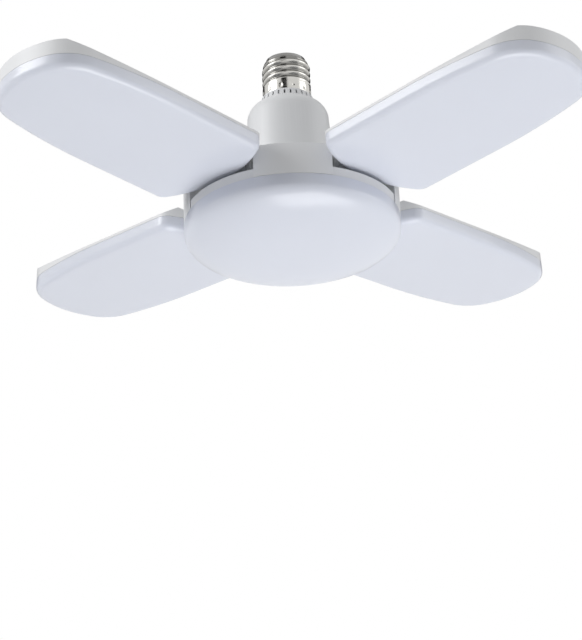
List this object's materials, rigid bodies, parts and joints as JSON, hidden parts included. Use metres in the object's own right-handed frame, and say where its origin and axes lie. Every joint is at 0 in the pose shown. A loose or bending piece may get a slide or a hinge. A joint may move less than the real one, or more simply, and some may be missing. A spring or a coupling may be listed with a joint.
{
  "type": "deformable garage light",
  "caption": "Screw-in garage ceiling light: a round hub with an opal lens under an E27 cap, and flat LED leaves hinged round it that fold up.",
  "frame": {"origin": "end of the screw cap's centre contact, on the lamp's axis", "axes": "+Z along the lamp's axis, out of the contact into the lampholder; the leaves spread along +X, +Y, -X and -Y"},
  "size_m": [0.3752, 0.3752, 0.1212],
  "materials": {
    "cap_metal": "nickel plated",
    "cap_glass": "black vitrified insulator",
    "contact_metal": "tinned",
    "neck_plastic": "satin moulded white",
    "cover_plastic": "satin moulded white",
    "base_plastic": "satin moulded white",
    "bracket_plastic": "moulded nylon, light grey",
    "screw_steel": "zinc plated",
    "pin_steel": "zinc plated",
    "washer_steel": "spring steel",
    "led_board": "white solder mask",
    "led_package": "white frame with yellow phosphor",
    "centre_opal": "satin opal",
    "leaf_opal": "satin opal",
    "shell_plastic": "satin moulded white",
    "circuit_board": "green laminate",
    "capacitor_sleeve": "shrink sleeve",
    "film_case": "moulded case",
    "ferrite": "ferrite and enamelled wire",
    "black_resin": "moulded resin",
    "resistor_body": "lacquered",
    "lead_insulation": "PVC insulation"
  },
  "bodies": {
    "hub": {"cap_shell": "cap_metal", "cap_insulator": "cap_glass", "centre_contact": "contact_metal", "neck_housing": "neck_plastic", "hub_cover": "cover_plastic", "hub_base": "base_plastic", "hub_screws": "screw_steel", "centre_board": "led_board", "centre_leds": "led_package", "centre_diffuser": "centre_opal", "driver_board": "circuit_board", "electrolytic_capacitor": "capacitor_sleeve", "film_capacitor": "film_case", "inductor": "ferrite", "bridge_rectifier": "black_resin", "driver_chip": "black_resin", "fusible_resistor": "resistor_body", "live_lead": "lead_insulation", "neutral_lead": "lead_insulation", "positive_lead": "lead_insulation", "negative_lead": "lead_insulation", "leaf_1_hinge_bracket": "bracket_plastic", "leaf_1_hinge_pin": "pin_steel", "leaf_1_friction_washers": "washer_steel", "leaf_2_hinge_bracket": "bracket_plastic", "leaf_2_hinge_pin": "pin_steel", "leaf_2_friction_washers": "washer_steel", "leaf_3_hinge_bracket": "bracket_plastic", "leaf_3_hinge_pin": "pin_steel", "leaf_3_friction_washers": "washer_steel", "leaf_4_hinge_bracket": "bracket_plastic", "leaf_4_hinge_pin": "pin_steel", "leaf_4_friction_washers": "washer_steel"},
    "leaf_1": {"leaf_1_shell": "shell_plastic", "leaf_1_diffuser": "leaf_opal", "leaf_1_board": "led_board", "leaf_1_leds": "led_package", "leaf_1_end_screw": "screw_steel"},
    "leaf_2": {"leaf_2_shell": "shell_plastic", "leaf_2_diffuser": "leaf_opal", "leaf_2_board": "led_board", "leaf_2_leds": "led_package", "leaf_2_end_screw": "screw_steel"},
    "leaf_3": {"leaf_3_shell": "shell_plastic", "leaf_3_diffuser": "leaf_opal", "leaf_3_board": "led_board", "leaf_3_leds": "led_package", "leaf_3_end_screw": "screw_steel"},
    "leaf_4": {"leaf_4_shell": "shell_plastic", "leaf_4_diffuser": "leaf_opal", "leaf_4_board": "led_board", "leaf_4_leds": "led_package", "leaf_4_end_screw": "screw_steel"}
  },
  "joints": [
    {"name": "leaf_1_hinge", "type": "hinge", "parent": "hub", "child": "leaf_1", "pos_m": [0.042, 0, -0.088], "axis": [0, -1, 0], "range_deg": [0, 87]},
    {"name": "leaf_2_hinge", "type": "hinge", "parent": "hub", "child": "leaf_2", "pos_m": [0, 0.042, -0.088], "axis": [1, 0, 0], "range_deg": [0, 87]},
    {"name": "leaf_3_hinge", "type": "hinge", "parent": "hub", "child": "leaf_3", "pos_m": [-0.042, 0, -0.088], "axis": [0, 1, 0], "range_deg": [0, 87]},
    {"name": "leaf_4_hinge", "type": "hinge", "parent": "hub", "child": "leaf_4", "pos_m": [0, -0.042, -0.088], "axis": [-1, 0, 0], "range_deg": [0, 87]}
  ]
}
